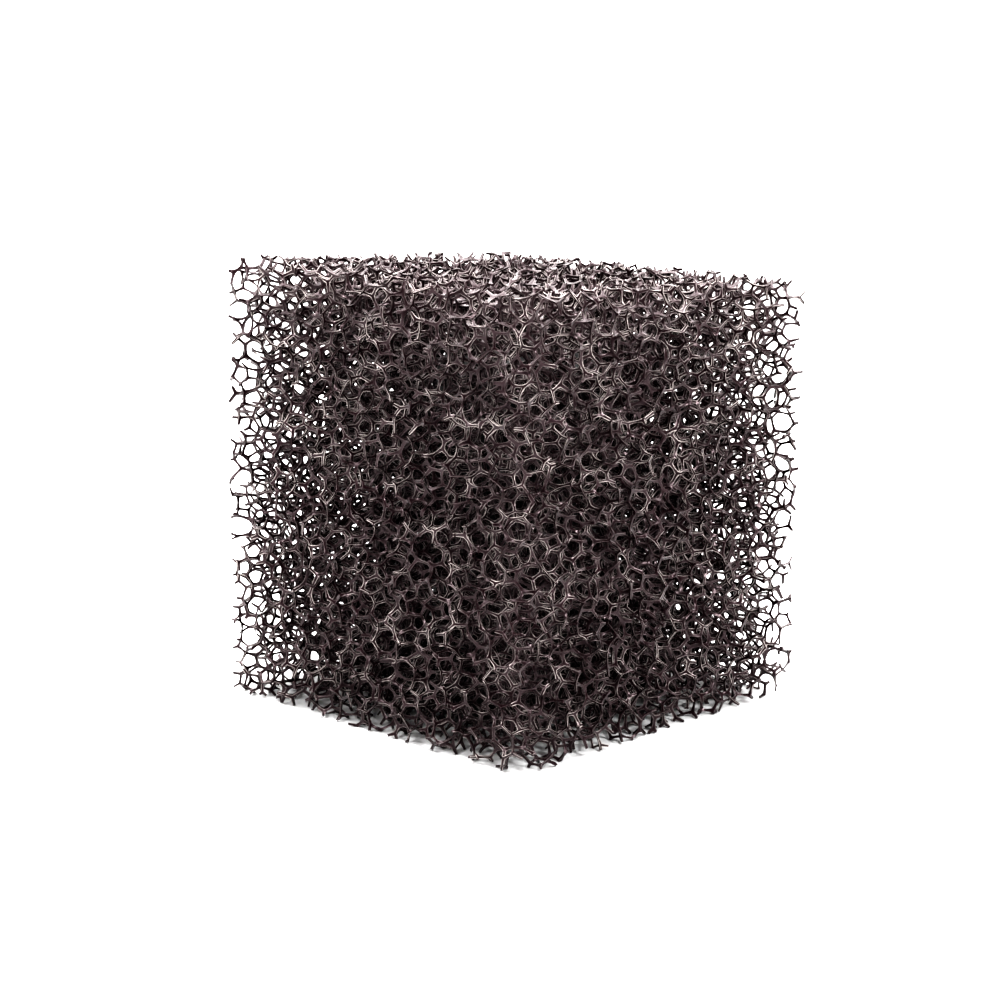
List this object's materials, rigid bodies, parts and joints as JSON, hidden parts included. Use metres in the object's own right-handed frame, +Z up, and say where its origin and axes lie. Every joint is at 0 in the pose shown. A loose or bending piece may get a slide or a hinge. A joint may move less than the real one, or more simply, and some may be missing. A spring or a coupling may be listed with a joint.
{
  "type": "sponge filter",
  "caption": "Block of coarse open-cell foam that slips over a slotted strainer core with a rubber-lined socket for an intake pipe.",
  "frame": {"origin": "middle of the base, on the surface that the block stands on", "axes": "+Z up along the core, away from the pipe socket; X along the block's wider side, Y along its narrower side"},
  "size_m": [0.05, 0.049, 0.053],
  "materials": {
    "foam": "satin",
    "strainer": "satin",
    "plug": "satin",
    "socket": "satin",
    "bush": "matte"
  },
  "bodies": {
    "core": {"strainer_tube": "strainer", "nose_plug": "plug", "socket_adapter": "socket", "rubber_bush": "bush"},
    "foam": {"foam_block": "foam"}
  },
  "joints": [
    {"name": "foam_lift", "type": "slide", "parent": "core", "child": "foam", "axis": [0, 0, 1], "range_m": [0, 0.046]}
  ]
}
